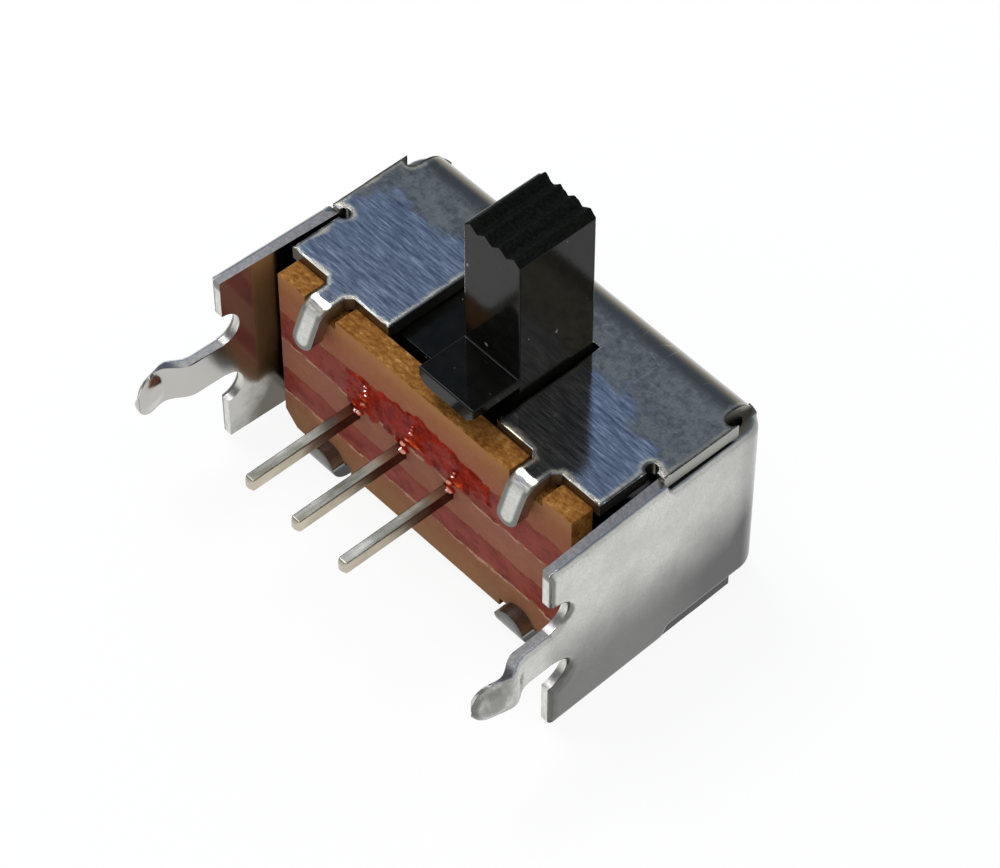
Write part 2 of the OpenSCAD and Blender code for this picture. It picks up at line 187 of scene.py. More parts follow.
bpy.ops.object.select_all(action="DESELECT")
bpy.ops.mesh.primitive_plane_add(size=2 * floor_half, location=(0, 0, 0))
floor = bpy.context.object
floor.name = "floor"
floor_material, start = new_material("floor white")
matte = start.node("ShaderNodeBsdfDiffuse", {}, {"Color": (floor_white,) * 3 + (1,)})
glow = start.node("ShaderNodeEmission", {}, {"Color": (1, 1, 1, 1), "Strength": 1})
seen = start.node("ShaderNodeLightPath", {}, {}, pick="Is Camera Ray")
mirrored = start.node("ShaderNodeLightPath", {}, {}, pick="Is Glossy Ray")
passed = start.node("ShaderNodeLightPath", {}, {}, pick="Is Transmission Ray")
lift = (seen + mirrored + passed).math("MINIMUM", 1) * floor_lift
finish_surface(start, start.node("ShaderNodeMixShader", {}, {0: lift, 1: matte, 2: glow}))
floor.data.materials.append(floor_material)

# ---------- housing ----------
# The can is one blank of zinc-plated steel: its top, back and floor fold from one strip, and the
# end plates with their snap-in legs fold from the back. The punch pulls the blank's rims down on
# the outside, so every outer edge is softly rolled and the inner one is sharp.
sheet_thick, skin_tolerance = 0.45, 0.03
dimple_y = 4.13
sliver_y, sliver_size = -7.08, 0.07
roll_width = 0.24
lid_roll, lid_roll_width = 0.016, 0.09
lid_roll_ends = (1.2, 1.7)
end_roll = 0.2
roll_turns = (12, 27, 45, 68, 90)
flat_ring = 0.6
rings = [roll_width * (1 - math.cos(math.radians(turn))) for turn in roll_turns] + [flat_ring]
station_gap = 0.3
crease, hollow_turn, fan_step = 1, -0.2, 0.3
ring_clearance = 0.985
flat_angle = math.radians(0.5)

end_x, splay_from_y, splay = 6.6, 3.0, 0.028
lid_step_y, lid_step_z = 0.17, 6.6
right_reach, right_reach_ys = 0.16, (3.3, 4.1)

tab_xs, tab_y, tab_bend_z, tab_low_z = (3.7, 4.9), -2.3, 6.6, 4
tab_drop, tab_lean, tab_shrink = 1.3, 0.36, 0.45

leg_root_y, leg_tip_y, leg_middle_z = -4.4, -7.125, 3.6
leg_bends = (0, 0, 0.38, 0.06)
leg_outer, leg_inner = (4.125, 5.275, 5.775, 7.125), (4.125, 5.427, 5.881, 7.04)
leg_face_x = 7.1
leg_softness = 0.22
leg_slices_y = np.arange(leg_tip_y + 0.05, leg_root_y, 0.09)
leg_slices_z = np.arange(3.0, 4.21, 0.1)
tip_ys = (5.6, 6.3)
tip_widening = 0.13
thin_middle, thin_rim, thin_span = 0.15, 0.55, (0.4, 1.1)
coin_y, coin_radius = -6.45, 0.62
coin_outer, coin_inner = 0.11, 0.04

lid_z, slot_back_y, slot_half_squared = (6.85, 6.95), (1.1, 1.8), (8, 12)
lid_rear_y, lid_bend_y = (1.7, 2.2), (2.9, 3.3)
coined_y, foot_z = (-6.3, -5.7), (1.6, 5.0)
blue_stops = [
    (0.32, (0.19, 0.20, 0.23)), (0.45, (0.36, 0.375, 0.40)), (0.55, (0.50, 0.505, 0.52)),
    (0.70, (0.88, 0.84, 0.78))]
greys = (0.275, 0.25, 0.20), (0.56, 0.48, 0.355)
# Painted shade over the lid's rear bend.
bend_shade = (0.21, 0.19, 0.145)
# The lid's rim band is partly burnished metal and partly a painted highlight of the rolled rim; its
# dark line right at the rim is painted shade.
rim_sheen_greys, rim_edge_shade = ((0.36, 0.33, 0.25), (0.66, 0.60, 0.45)), (0.05, 0.05, 0.042)
satins = (0.54, 0.545, 0.51), (0.70, 0.70, 0.665)
pitted_colour, coined_colour = (0.42, 0.42, 0.39), (0.28, 0.285, 0.26)
# Painted reflection of the shadowed floor, darkening the end plates low down and towards the back.
# Painted shade on rolled rims that turn down or to the front.
reflected_floor_shade, turned_shade_colour = (0.088, 0.088, 0.088), (0.10, 0.10, 0.09)
scratch_colour = (0.90, 0.78, 0.56)
cut_top_greys, cut_rear_colour = ((0.14, 0.14, 0.145), (0.25, 0.235, 0.22)), (0.13, 0.115, 0.086)
# Painted shade: sideways cut faces turn near black at the bottom, where they meet the floor.
cut_side_shade_greys = (0.05, 0.05, 0.05), (0.36, 0.36, 0.33)
cut_front_greys = (0.50, 0.51, 0.46), (0.78, 0.78, 0.74)
# Painted shade: cut faces at the back of the slot are near black.
cut_lid_colour, cut_slot_shade = (0.20, 0.20, 0.18), (0.02, 0.02, 0.02)
# Painted shade inside the can: inner faces darken low down and towards the back.
inner_shade_greys = (0.13, 0.12, 0.10), (0.50, 0.49, 0.46)


def merged_copy(node, name):
    """A copy of a CAD solid in millimetres, its doubles merged."""
    bpy.ops.object.select_all(action="DESELECT")
    piece = bpy.data.objects.new(name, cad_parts[node].data.copy())
    piece.data.name = name
    piece.data.materials.clear()
    bpy.context.scene.collection.objects.link(piece)
    bpy.context.view_layer.objects.active = piece
    piece.select_set(True)
    piece.scale = (1 / MM,) * 3
    bpy.ops.object.transform_apply(location=False, rotation=False, scale=True)
    bpy.ops.object.mode_set(mode="EDIT")
    bpy.ops.mesh.select_all(action="SELECT")
    bpy.ops.mesh.remove_doubles(threshold=0.0005)
    bpy.ops.mesh.normals_make_consistent(inside=False)
    bpy.ops.object.mode_set(mode="OBJECT")
    return piece


def rim_distance(points, rims, batch=1500):
    """How far each point lies from the nearest of the rim's straight lengths."""
    points = np.array([tuple(point) for point in points]).reshape(-1, 1, 3)
    starts, ends = (np.array([tuple(rim[i]) for rim in rims]) for i in (0, 1))
    spans = ends - starts
    found = []
    for some in np.array_split(points, len(points) // batch + 1):
        along = ((some - starts) * spans).sum(2) / (spans ** 2).sum(1)
        near = starts + along.clip(0, 1)[:, :, None] * spans
        found.extend(np.sqrt(((some - near) ** 2).sum(2)).min(1))
    return found


def smooth_rise(value, low, high):
    """0 below low, 1 above high, and a smooth rise between them."""
    reach = min(max((value - low) / (high - low), 0), 1)
    return reach * reach * (3 - 2 * reach)


def roll_rims(piece):
    """Rolls the outer rims of a piece of sheet. The UV map called rim then holds the distance from
    the rim and, as its second part, 1 on the outer skin, 0.5 on a cut edge and 0 inside."""
    sheet = bmesh.new()
    sheet.from_mesh(piece.data)

    # Tell the two skins of the sheet from its cut edges by how thick the piece is behind each face.
    slivers = [vert for vert in sheet.verts if vert.co.y < sliver_y]
    bmesh.ops.remove_doubles(sheet, verts=slivers, dist=sliver_size)
    middle = sum((vert.co for vert in sheet.verts), Vector()) / len(sheet.verts)
    tree = BVHTree.FromBMesh(sheet)
    for face in sheet.faces:
        centre = face.calc_center_median()
        through = tree.ray_cast(centre - 0.001 * face.normal, -face.normal, 1)[3] or 0
        skin = abs(through - sheet_thick) < skin_tolerance or centre.y > dimple_y
        outward = face.normal.dot(centre - middle) > 0
        face.material_index = int(skin and outward)
        face.smooth = skin
    bmesh.ops.dissolve_limit(
        sheet, angle_limit=flat_angle, verts=sheet.verts, edges=sheet.edges, delimit={"MATERIAL"})
    inside = {face for face in sheet.faces if face.smooth and not face.material_index}

    def is_rim(edge):
        sides = {face.material_index for face in edge.link_faces}
        return len(sides) == 2 and edge.calc_face_angle_signed() > crease

    # Set stations along the rims, and where the other edges leave them.
    rim_verts = {vert for edge in sheet.edges if is_rim(edge) for vert in edge.verts}
    for edge in list(sheet.edges):
        if not any(face.material_index for face in edge.link_faces):
            continue
        near, far = edge.verts
        origin, length, run = near.co.copy(), edge.calc_length(), (far.co - near.co).normalized()
        if is_rim(edge):
            count = math.ceil(length / station_gap)
            places = [length * i / count for i in range(1, count)]
        else:
            places = [ring for ring in rings if near in rim_verts and ring < 0.5 * length]
            places += [length - ring for ring in rings if far in rim_verts and ring < 0.5 * length]
        for place in sorted(places):
            new = bmesh.utils.edge_split(edge, near, 0.5)[1]
            new.co = origin + place * run
            edge = sheet.edges.get((new, far))
            near = new

    # Lay rings of points inside each outer face and fill it with triangles through them.
    rims = [[vert.co.copy() for vert in edge.verts] for edge in sheet.edges if is_rim(edge)]
    for face in [face for face in sheet.faces if face.material_index]:
        up = face.normal.copy()
        across = up.orthogonal().normalized()
        along = up.cross(across)
        inner = []
        for loop in face.loops:
            corner = loop.vert.co
            before, after = loop.link_loop_prev, loop
            if not (is_rim(before.edge) and is_rim(after.edge)):
                continue
            run_in = (corner - before.vert.co).normalized()
            run_out = (after.link_loop_next.vert.co - corner).normalized()
            side_in, side_out = up.cross(run_in), up.cross(run_out)
            turn = math.atan2(run_in.cross(run_out).dot(up), run_in.dot(run_out))
            for ring in rings:
                if turn > hollow_turn:
                    steps = [(side_in + side_out) / (1 + side_in.dot(side_out))]
                else:
                    count = math.ceil(-turn / fan_step)
                    steps = [Quaternion(up, turn * i / count) @ side_in for i in range(count + 1)]
                inner.extend((corner + ring * step, ring) for step in steps)
        if inner:
            clear = rim_distance([point for point, ring in inner], rims)
            inner = [
                point for (point, ring), gap in zip(inner, clear) if gap > ring_clearance * ring]
        outline = [loop.vert for loop in face.loops]
        places = [vert.co for vert in outline] + inner
        flat = [Vector((place.dot(across), place.dot(along))) for place in places]
        cells = delaunay_2d_cdt(flat, [], [list(range(len(outline)))], 1, 1e-5)
        if len(cells[2]) < 2 and not inner:
            continue
        bmesh.ops.delete(sheet, geom=[face], context="FACES_ONLY")
        new = {}
        for cell in cells[2]:
            ring = []
            for index in cell:
                if index not in new:
                    source = min(cells[3][index])
                    is_old = source < len(outline)
                    new[index] = outline[source] if is_old else sheet.verts.new(places[source])
                ring.append(new[index])
            if len(set(ring)) == 3:
                try:
                    sheet.faces.new(ring).material_index = 1
                except ValueError:
                    pass
    sheet.normal_update()

    # Press the rims down, and write how far each corner lies from them.
    outer = {
        vert: [face.normal for face in vert.link_faces if face.material_index]
        for vert in sheet.verts}
    skin = [vert for vert in sheet.verts if outer[vert]]
    lean = {vert: sum(outer[vert], Vector()).normalized() for vert in skin}
    gaps = dict(zip(skin, rim_distance([vert.co for vert in skin], rims)))
    for vert, gap in gaps.items():
        is_end = abs(lean[vert].x) > 0.5
        depth = end_roll if is_end else lid_roll * (1 - smooth_rise(vert.co.y, *lid_roll_ends))
        reach = min(gap / (roll_width if is_end else lid_roll_width), 1)
        vert.co -= depth * (1 - math.sqrt(1 - (1 - reach) ** 2)) * lean[vert]
    layer = sheet.loops.layers.uv.new("rim")
    for face in sheet.faces:
        for loop in face.loops:
            if face.material_index:
                loop[layer].uv = (gaps.get(loop.vert, 0), 1)
            else:
                loop[layer].uv = (0, 0 if face in inside else 0.5)
        face.material_index = 0
    sheet.to_mesh(piece.data)
    sheet.free()


def slice_where(sheet, wanted, axis, places):
    """Cuts the faces whose middle and normal are wanted at each place along an axis."""
    for place in places:
        faces = [face for face in sheet.faces if wanted(face.calc_center_median(), face.normal)]
        edges = {edge for face in faces for edge in face.edges}
        verts = {vert for face in faces for vert in face.verts}
        plane = Vector([place if i == axis else 0 for i in range(3)])
        bmesh.ops.bisect_plane(
            sheet, geom=[*faces, *edges, *verts], plane_co=plane,
            plane_no=Vector([float(i == axis) for i in range(3)]))


def form_ends(piece):
    """Springs the end plates apart, bends their legs softly and coins the tips of the legs, and
    leaves the upper crimp tabs short of upright, as the crimping tool does. The right end plate
    comes out of the die a hair longer than the left one."""
    sheet = bmesh.new()
    sheet.from_mesh(piece.data)
    slice_where(sheet, lambda centre, normal: centre.y < leg_root_y + 0.2, 1, leg_slices_y)
    slice_where(sheet, lambda centre, normal: centre.y < coin_y + 0.7, 2, leg_slices_z)
    nearby = np.linspace(-leg_softness, leg_softness, 9)
    for vert in sheet.verts:
        px, py, pz = vert.co
        side = math.copysign(1, px)
        if abs(px) > end_x and py < splay_from_y and not (py > lid_step_y and pz > lid_step_z):
            vert.co.x += side * splay * (splay_from_y - py)
        if px > end_x:
            vert.co.y -= right_reach * smooth_rise(-py, *right_reach_ys)
        if tab_xs[0] < abs(px) < tab_xs[1] and py < tab_y and tab_low_z < pz < tab_bend_z:
            fall = (tab_bend_z - pz) / tab_drop
            vert.co.y -= tab_lean * fall
            vert.co.z += tab_shrink * fall
        if py < leg_root_y:
            paths = (leg_inner, leg_outer)
            bends = [np.interp(-py, path, leg_bends) for path in paths]
            soft = [
                sum(np.interp(-py + near, path, leg_bends) for near in nearby) / len(nearby)
                for path in paths]
            middle = leg_face_x - sheet_thick / 2 + sum(bends) / 2
            across = min(max((abs(px) - middle) / sheet_thick + 0.5, 0), 1)
            shift = (1 - across) * (soft[0] - bends[0]) + across * (soft[1] - bends[1])
            tip = smooth_rise(-py, *tip_ys)
            vert.co.z = leg_middle_z + (pz - leg_middle_z) * (1 + tip_widening * tip)
            far = math.hypot(py - coin_y, vert.co.z - leg_middle_z) / coin_radius
            hollow = coin_inner + (coin_outer - coin_inner) * across
            dome = hollow * max(1 - far * far, 0) ** 1.5
            thin = tip * (thin_middle + thin_rim * smooth_rise(far, *thin_span))
            vert.co.x += side * (shift + dome - (across - 0.5) * sheet_thick * thin)
    sheet.to_mesh(piece.data)
    sheet.free()


def add_modifier(piece, kind, **settings):
    """Adds a modifier to a piece and applies it."""
    bpy.context.view_layer.objects.active = piece
    modifier = piece.modifiers.new(kind.lower(), kind)
    for name, value in settings.items():
        setattr(modifier, name, value)
    bpy.ops.object.modifier_apply(modifier=modifier.name)


def settle(piece, material, body, slot, *nodes):
    """Smooths a finished piece, takes it back to metres and seats it on its body."""
    bpy.ops.object.select_all(action="DESELECT")
    bpy.context.view_layer.objects.active = piece
    piece.select_set(True)
    bpy.ops.object.shade_smooth_by_angle(angle=math.radians(32))
    add_modifier(piece, "WEIGHTED_NORMAL", keep_sharp=True, weight=80)
    piece.scale = (MM,) * 3
    bpy.ops.object.transform_apply(location=False, rotation=False, scale=True)
    piece.data.materials.append(material)
    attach(piece, body)
    if nodes:
        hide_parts(*nodes)


def place_on(start):
    """The place on the piece, in millimetres."""
    place = start.node("ShaderNodeTexCoord", {}, {}, pick="Object")
    return start.node(
        "ShaderNodeVectorMath", {"operation": "SCALE"}, {0: place, "Scale": 1 / MM})


def normal_on(start):
    """The way that the surface faces."""
    return start.node("ShaderNodeNewGeometry", {}, {}, pick="Normal")


def parts_of(vector, names="XYZ"):
    """The named parts of a vector, each a wire of its own."""
    split = vector.node("ShaderNodeSeparateXYZ", {}, {0: vector})
    return [Wire(split.tree, split.socket.node.outputs[name]) for name in names]


def noise(place, scale, stretch=(1, 1, 1), detail=3, rough=0.5, shift=0):
    """A noise of that many cells per millimetre, longer along an axis whose stretch is under 1."""
    mapped = place.node("ShaderNodeMapping", {}, {
        "Vector": place, "Scale": stretch, "Location": (shift, shift, shift)})
    inputs = {"Vector": mapped, "Scale": scale, "Detail": detail, "Roughness": rough}
    return place.node("ShaderNodeTexNoise", {}, inputs)


def bumps(height, strength, depth):
    """Bumps of that depth in millimetres where the height is 1."""
    return height.node("ShaderNodeBump", {}, {
        "Height": height, "Strength": strength, "Distance": depth * MM})


steel, start = new_material("plated steel")
place = place_on(start)
x, y, z = parts_of(place)
face_x, face_y, face_z = parts_of(normal_on(start))
rim, layer = parts_of(start.node("ShaderNodeUVMap", {"uv_map": "rim"}, {}), "XY")
outer = layer.step(0.7, 0.8)
cut = layer.step(0.2, 0.3) - outer
cloud = noise(place, 0.42, detail=4, rough=0.62)
patch = noise(place, 1.3, (0.7, 1, 1), detail=5, rough=0.65, shift=7)
streak = noise(place, 1, (1.5, 13, 13), detail=3, rough=0.7)
grit = noise(place, 14, detail=3, rough=0.7)
fleck = noise(place, 5, detail=4, rough=0.7)
hairs = 0
for stretch, shift in (((0.14, 1.9, 1), 21), ((1.5, 0.2, 1), 33)):
    hair = noise(place, 0.9, stretch, detail=1, rough=0.4, shift=shift) - 0.5
    hairs = hairs + (1 - (hair * hair).step(0, 0.00002)) * noise(
        place, 0.8, detail=2, shift=shift + 5).step(0.5, 0.56)
up = face_z.step(0.5, 0.8)
on_lid = up * z.step(*lid_z)
# The light band along the lid's rims is partly burnished metal and partly a painted highlight of
# the rolled rim.
wear_and_sheen = rim + (fleck - 0.5) * 0.34 + (patch - 0.5) * 0.5
wear_and_sheen = wear_and_sheen + y.step(*slot_back_y) * (1 - (x * x).step(*slot_half_squared))
band = 1 - wear_and_sheen.step(0.06, 0.24)
rear = y + x * x * 0.03 + x * 0.05 + (cloud - 0.5) * 3 + (patch - 0.5) * 2.6
blue = start.node("ShaderNodeValToRGB", {"stops": blue_stops}, {0: streak})
grey = (patch * 0.4 + fleck * 0.6).step(0.38, 0.62).blend(*greys)
# Rim band colours: a painted highlight on burnished metal, with a painted dark line of shade right
# at the rim.
rim_sheen = fleck.step(0.35, 0.65).blend(*rim_sheen_greys)
rim_sheen = rim.step(0.03, 0.12).blend(rim_edge_shade, rim_sheen)
top_colour = rear.step(*lid_rear_y).blend(blue, grey)
# Painted shade: the lid darkens over its rear bend.
top_colour = (y + (patch - 0.5) * 0.5).step(*lid_bend_y).blend(top_colour, bend_shade)
top_colour = (band * 0.85).blend(top_colour, rim_sheen)
coined = 1 - y.step(*coined_y)
satin = cloud.step(0.3, 0.7).blend(*satins)
satin = grit.step(0.3, 0.7).blend(satin, fleck.blend(satin, pitted_colour))
satin = (coined * patch.step(0.35, 0.6)).blend(satin, coined_colour)
# Painted shade: the end plates darken towards the floor and towards the back, as a painted
# reflection of the shadowed floor.
low = 1 - (z + (cloud - 0.5) * 0.8).step(*foot_z)
painted_dark_reflection = low * 0.86 * y.step(-4.8, -4.1) + y.step(-1, 3.5) * 0.2
painted_dark_reflection = (painted_dark_reflection + (y + (cloud - 0.5) * 1.5).step(2.7, 3.5) * 0.25).math("MINIMUM", 1)
side_colour = painted_dark_reflection.blend(satin, reflected_floor_shade)
# Painted shade: rolled rims that turn down or to the front are darker.
turned_shade = ((face_y * -1).step(0.3, 0.6) + (face_z * -1).step(0.3, 0.6)).math("MINIMUM", 1)
side_colour = (turned_shade * (1 - rim.step(0.12, 0.24)) * 0.8).blend(side_colour, turned_shade_colour)
skin_colour = on_lid.blend(side_colour, top_colour)
skin_colour = (hairs * on_lid * 0.3).blend(skin_colour, scratch_colour)
cut_line = noise(place, 9, (1, 1, 0.3), detail=3, rough=0.6)
cut_top = cut_line.step(0.2, 0.8).blend(*cut_top_greys)
cut_top = y.step(2.6, 3.2).blend(cut_top, cut_rear_colour)
# Painted shade: sideways cut faces turn near black at the bottom, where they meet the floor.
cut_side = z.step(0.5, 0.7).blend(*cut_side_shade_greys)
cut_front = cut_line.step(0.2, 0.8).blend(*cut_front_greys)
cut_front = z.step(6.5, 6.65).blend(cut_front, cut_lid_colour)
# Painted shade: cut faces at the back of the slot are near black.
cut_front = y.step(1.2, 1.6).blend(cut_front, cut_slot_shade)
cut_colour = (face_x * face_x).step(0.3, 0.7).blend(cut_front, cut_side)
cut_colour = up.blend(cut_colour, cut_top)
# Painted shade inside the can: inner faces darken low down and towards the back.
inside = (z * 0.6 - y + (patch - 0.5) * 1.6).step(3.2, 4.6).blend(*inner_shade_greys)
colour = outer.blend(cut.blend(inside, cut_colour), skin_colour)
rough = 0.06 + 0.04 * cloud + 0.04 * fleck + 0.16 * band * on_lid + 0.12 * (1 - on_lid)
rough = rough * outer + (0.16 + 0.16 * cut) * (1 - outer)
relief = streak * on_lid * (1 - band) * 0.3 + grit * 0.2 + fleck * 0.3 + patch * 0.4
shader = start.node("ShaderNodeBsdfPrincipled", {}, {
    "Base Color": colour, "Metallic": 1, "Roughness": rough,
    "Normal": bumps(relief, 0.2, 0.012)})
finish_surface(start, shader)

housing = merged_copy("housing", "can")
roll_rims(housing)
form_ends(housing)
settle(housing, steel, "housing", "plated_steel", "housing")

# ---------- terminal board ----------
# A strip of phenolic paper laminate, sheared to size. Its face is striped brown and red by the
# lacquer rolled on it, with torn edges, and the sheared edges show the raw ochre paper.
board_round = 0.03
board_height = 7.0
lacquer_edges = ((1.78, 2.78), (4.02, 5.22))
brown_stops = [
    (0.00, (0.285, 0.150, 0.060)), (0.14, (0.252, 0.121, 0.058)), (0.20, (0.247, 0.100, 0.050)),
    (0.42, (0.267, 0.098, 0.064)), (0.55, (0.270, 0.104, 0.070)), (0.79, (0.290, 0.094, 0.052)),
    (0.88, (0.288, 0.112, 0.046)), (0.96, (0.345, 0.158, 0.058))]
pale_brown = (0.33, 0.15, 0.075)
reds = (0.190, 0.028, 0.016), (0.265, 0.050, 0.034)
torn_red, grain_red, ridge_pink = (0.150, 0.020, 0.012), (0.36, 0.12, 0.085), (0.50, 0.29, 0.20)
paper_stops = [
    (0.30, (0.085, 0.026, 0.006)), (0.46, (0.215, 0.085, 0.018)), (0.56, (0.32, 0.145, 0.035)),
    (0.68, (0.56, 0.31, 0.10))]
# Painted light on the board's left end face.
painted_light_paper = (0.80, 0.42, 0.19)


def round_edges(piece, radius, steps, from_angle=35):
    """Makes the piece's flat faces whole and rounds its sharp edges."""
    bpy.context.view_layer.objects.active = piece
    bpy.ops.object.mode_set(mode="EDIT")
    bpy.ops.mesh.select_all(action="SELECT")
    bpy.ops.mesh.dissolve_limited(angle_limit=flat_angle)
    bpy.ops.object.mode_set(mode="OBJECT")
    add_modifier(
        piece, "BEVEL", width=radius, segments=steps, limit_method="ANGLE",
        angle_limit=math.radians(from_angle), use_clamp_overlap=False,
    )


laminate, start = new_material("phenolic laminate")
place = place_on(start)
[z] = parts_of(place, "Z")
face_x, face_y = parts_of(normal_on(start), "XY")
wander = noise(place, 1, (0.35, 1, 0.6), detail=2, rough=0.5)
torn = noise(place, 3, (0.6, 1, 1), detail=5, rough=0.7, shift=3)
grain = noise(place, 9, (0.4, 1, 1), detail=4, rough=0.7)
blotch = noise(place, 1.5, (0.6, 1, 1), detail=4, rough=0.6)
height = z + (wander - 0.5) * 0.25 + (torn - 0.5) * 0.5
brown = start.node(
    "ShaderNodeValToRGB", {"stops": brown_stops}, {0: height * (1 / board_height)})
brown = grain.step(0.3, 0.75).blend(brown, blotch.step(0.2, 0.8).blend(brown, pale_brown))
lacquer = 0
ridge = 0
for low, high in lacquer_edges:
    past = height.step(high - 0.02, high + 0.03)
    lacquer = lacquer + height.step(low - 0.02, low + 0.03) * (1 - past)
    ridge = ridge + height.step(low - 0.12, low - 0.05) * (1 - height.step(low - 0.03, low + 0.03))
red = blotch.step(0.3, 0.7).blend(*reds)
red = torn.step(0.5, 0.66).blend(red, torn_red)
red = (grain.step(0.62, 0.72) * 0.5).blend(red, grain_red)
front_colour = lacquer.blend(brown, red)
front_colour = (ridge * torn.step(0.42, 0.54) * 0.9).blend(front_colour, ridge_pink)
sheared = 1 - (face_y * face_y).step(0.35, 0.8)
edge_grain = noise(place, 8, (0.6, 1, 1), detail=5, rough=0.75)
edge_blotch = noise(place, 2.5, (0.7, 1, 1), detail=3, rough=0.6, shift=5)
edge_colour = start.node(
    "ShaderNodeValToRGB", {"stops": paper_stops}, {0: edge_grain * 0.7 + edge_blotch * 0.3})
# Painted light: the board's left end face is paler.
edge_colour = (face_x * -1).step(0.4, 0.8).blend(edge_colour, painted_light_paper)
colour = sheared.blend(front_colour, edge_colour)
relief = sheared * edge_grain * 3 + lacquer * 1.2 + ridge * torn * 1.5
relief = relief + grain * 0.5 + torn * lacquer
shader = start.node("ShaderNodeBsdfPrincipled", {}, {
    "Base Color": colour, "Specular IOR Level": 0.03, "Normal": bumps(relief, 0.5, 0.03),
    "Roughness": 0.5 + 0.3 * sheared - 0.2 * lacquer + 0.1 * grain})
finish_surface(start, shader)

board = merged_copy("terminal_board", "board")
round_edges(board, board_round, 2)
settle(board, laminate, "housing", "laminate", "terminal_board")

# ---------- terminals ----------
# Flat pins cut from tinned brass, each with its tip coined on four sides and its contact head
# behind the board.
pin_round = 0.04
pin_root_y, pin_tip_y, pin_shade = (-3.7, -2.9), (-6.62, -6.5), 0.28
pin_top_stops = [
    (0.34, (0.10, 0.092, 0.072)), (0.44, (0.155, 0.15, 0.125)), (0.54, (0.21, 0.205, 0.18)),
    (0.68, (0.36, 0.355, 0.32))]
# Painted reflection of the floor on the pins' sides, pale towards the tip and dark at the root.
pin_side_reflection_stops = [
    (0.00, (0.60, 0.54, 0.43)), (0.40, (0.42, 0.37, 0.28)), (0.62, (0.24, 0.19, 0.14)),
    (0.85, (0.12, 0.07, 0.045))]
# Painted reflection of the board on the tops near the root, and a painted highlight at the tips.
pin_root_reflection, pin_tip_highlight = (0.30, 0.20, 0.12), (0.55, 0.50, 0.42)

tin, start = new_material("tinned brass")
place = place_on(start)
[y] = parts_of(place, "Y")
[face_z] = parts_of(normal_on(start), "Z")
mottle = noise(place, 1.8, (1, 0.6, 1), detail=2, rough=0.5)
drawn = noise(place, 6, (1, 0.12, 1), detail=2, rough=0.5)
top_colour = start.node(
    "ShaderNodeValToRGB", {"stops": pin_top_stops}, {0: mottle * 0.6 + drawn * 0.4})
# Painted reflection of the board: brown on the tops near the root.
top_colour = (y + (mottle - 0.5) * 1.5).step(*pin_root_y).blend(top_colour, pin_root_reflection)
# Painted reflection of the floor on the sides, pale towards the tip and dark at the root.
side_colour = start.node(
    "ShaderNodeValToRGB", {"stops": pin_side_reflection_stops},
    {0: (y + 6.6) * pin_shade + (mottle - 0.5) * 0.9})
wear_and_sheen = (face_z * face_z).step(0.3, 0.7).blend(side_colour, top_colour)
# Painted highlight at the tips.
wear_and_sheen = (1 - y.step(*pin_tip_y)).blend(wear_and_sheen, pin_tip_highlight)
shader = start.node("ShaderNodeBsdfPrincipled", {}, {
    "Base Color": wear_and_sheen, "Metallic": 1, "Roughness": 0.28 + 0.05 * mottle,
    "Normal": bumps(mottle, 0.03, 0.02)})
finish_surface(start, shader)

for side in ("left", "centre", "right"):
    pin = merged_copy("terminal_" + side, "pin_" + side)
    round_edges(pin, pin_round, 2)
    settle(pin, tin, "housing", "tinned_brass", "terminal_" + side)

# ---------- sealing resin ----------
# Red resin brushed across the board above the pins. It runs down to each pin, climbs a little way
# on to it, and has set there in glossy beads and tears.
board_front_y = -2.575
resin_x, resin_z = (-3.5, 3.2), (3.62, 5.95)
resin_cell = 0.02
resin_back = 0.03
resin_skin, resin_edge = 0.03, 0.1
tear_size, tear_depth = 1.8, 0.2
film_low_z, film_slope = 4.12, 0.11
film_top_z, film_hump, hump_x, hump_spread = 5.2, 0.42, 0.1, 4
film_end, end_tear = 0.3, 1.5
bead_wobble, bead_least = 0.05, 0.02
swell, ripple_height = 0.02, 0.005
deep_reds = (0.135, 0.0045, 0.001), (0.30, 0.018, 0.005)
milky_red, thin_red = (0.42, 0.09, 0.055), (0.33, 0.09, 0.06)
# Painted glow of light through the thick beads.
bead_glow_oranges = (0.38, 0.016, 0.003), (0.76, 0.13, 0.03)

# Each bead has its place, half its width, how far it reaches below and above, and its height.
beads = (
    (-2.68, 3.84, 0.16, 0.10, 0.04, 0.21), (-2.42, 4.36, 0.15, 0.14, 0.06, 0.17),
    (-2.29, 4.88, 0.10, 0.10, 0.025, 0.14), (-2.27, 5.06, 0.09, 0.11, 0.025, 0.15),
    (-2.26, 5.24, 0.10, 0.10, 0.025, 0.14), (-2.86, 4.06, 0.12, 0.16, 0.12, 0.11),
    (-2.45, 4.62, 0.30, 0.26, 0.24, 0.10), (-2.48, 5.25, 0.20, 0.16, 0.10, 0.09),
    (-0.74, 3.84, 0.16, 0.10, 0.04, 0.21), (-0.70, 4.16, 0.14, 0.13, 0.06, 0.18),
    (-0.54, 4.45, 0.14, 0.12, 0.07, 0.15), (-0.34, 4.90, 0.10, 0.10, 0.025, 0.15),
    (-0.30, 5.09, 0.09, 0.10, 0.025, 0.14), (-0.29, 5.26, 0.09, 0.09, 0.025, 0.13),
    (-0.20, 4.50, 0.42, 0.24, 0.24, 0.11), (-1.00, 4.00, 0.10, 0.14, 0.12, 0.10),
    (1.24, 3.84, 0.16, 0.10, 0.04, 0.21), (1.25, 4.20, 0.15, 0.13, 0.06, 0.18),
    (1.41, 4.60, 0.10, 0.12, 0.025, 0.15), (1.45, 4.82, 0.09, 0.10, 0.025, 0.14),
    (1.60, 4.38, 0.40, 0.24, 0.24, 0.11), (1.78, 4.50, 0.14, 0.12, 0.12, 0.10),
)

